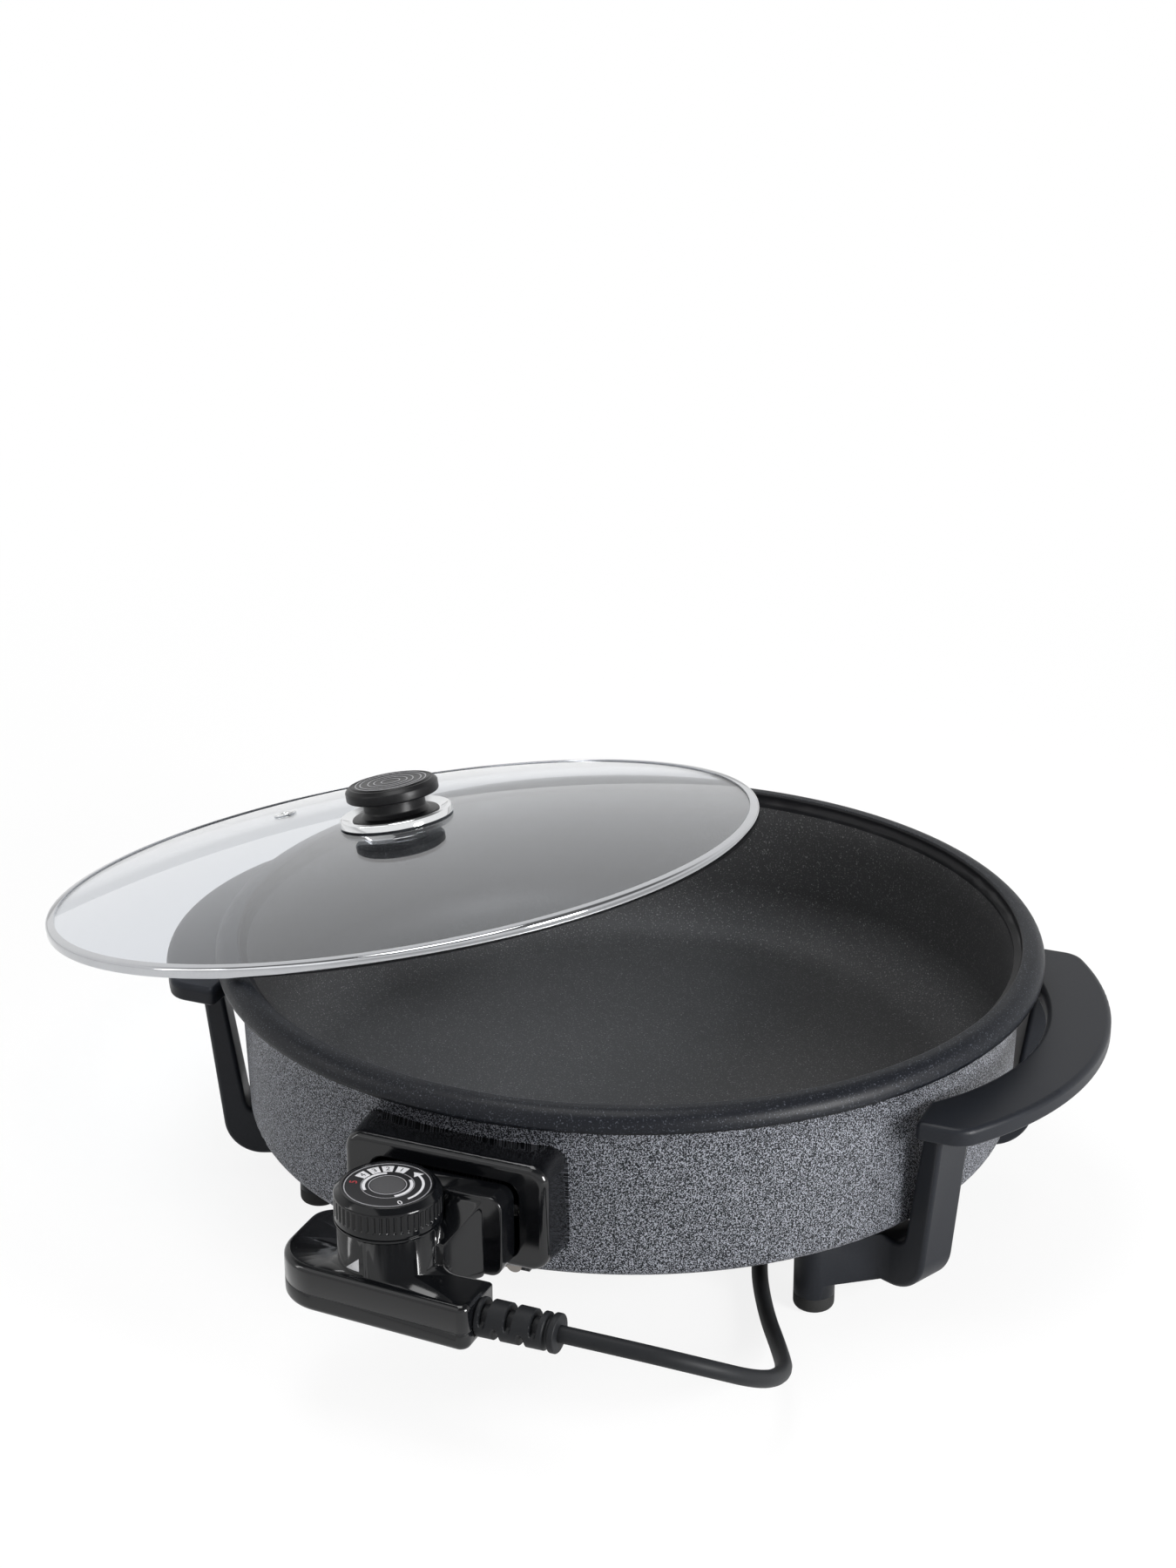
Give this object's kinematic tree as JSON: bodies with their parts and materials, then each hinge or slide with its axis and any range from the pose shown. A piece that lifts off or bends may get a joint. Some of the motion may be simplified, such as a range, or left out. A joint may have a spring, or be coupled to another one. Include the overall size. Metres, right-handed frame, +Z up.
{
  "type": "electric cooking pan",
  "caption": "Round electric griddle pan with side handles on legs, a domed glass lid resting ajar and a plug-in thermostat control with dial and cord.",
  "frame": {"origin": "on the table under the pan's axis", "axes": "+X through the right handle, -Y towards the control, +Z up out of the pan"},
  "size_m": [0.5957, 0.5982, 0.1764],
  "materials": {
    "pan_casting": "hammertone coat outside, dark flecked non-stick coat inside and on the rim",
    "element_tube": "heat-dulled steel tube",
    "contact_metal": "nickel-plated brass",
    "housing_plastic": "glossy black phenolic moulding",
    "handle_plastic": "fine satin black phenolic moulding",
    "foot_rubber": "black rubber",
    "screw_steel": "zinc-plated steel",
    "lid_glass": "clear toughened glass",
    "bright_steel": "polished steel",
    "knob_plastic": "satin black phenolic moulding",
    "gasket_silicone": "dark silicone",
    "control_plastic": "glossy black moulding",
    "dial_print": "black plate with printed numbers",
    "spindle_metal": "turned brass",
    "switch_plastic": "pale moulded thermostat body",
    "probe_metal": "bright sensor rod",
    "cord_sheath": "black rubber sheath",
    "tie_plastic": "black tie",
    "plug_plastic": "black moulded plug"
  },
  "bodies": {
    "pan_body": {"pan": "pan_casting", "heating_element": "element_tube", "terminal_pins": "contact_metal", "socket_housing": "housing_plastic", "housing_screws": "screw_steel", "left_handle": "handle_plastic", "right_handle": "handle_plastic", "front_left_foot": "foot_rubber", "front_right_foot": "foot_rubber", "back_left_foot": "foot_rubber", "back_right_foot": "foot_rubber", "foot_screws": "screw_steel"},
    "lid": {"lid_glass": "lid_glass", "lid_band": "bright_steel", "vent_eyelet": "bright_steel", "knob_dish": "bright_steel", "lid_knob": "knob_plastic", "lid_gasket": "gasket_silicone", "lid_screw": "screw_steel"},
    "control": {"control_upper_shell": "control_plastic", "control_lower_shell": "control_plastic", "shell_screws": "screw_steel", "contact_sleeves": "contact_metal", "sensor_probe": "probe_metal", "thermostat_switch": "switch_plastic", "strain_relief": "cord_sheath", "cord": "cord_sheath", "cord_coil": "cord_sheath", "cord_tail": "cord_sheath", "cord_tie": "tie_plastic", "plug_body": "plug_plastic", "plug_pins": "contact_metal"},
    "dial": {"control_dial": "control_plastic", "dial_plate": "dial_print", "dial_spindle": "spindle_metal"}
  },
  "joints": [
    {"name": "lid_lift", "type": "slide", "parent": "pan_body", "child": "lid", "axis": [0, 0, 1], "range_m": [0, 0.2]},
    {"name": "control_pull", "type": "slide", "parent": "pan_body", "child": "control", "axis": [0, -1, 0], "range_m": [0, 0.06]},
    {"name": "dial_turn", "type": "hinge", "parent": "control", "child": "dial", "pos_m": [-0.017, -0.246, 0.1], "axis": [0, 0, 1], "range_deg": [-280, 0]}
  ]
}
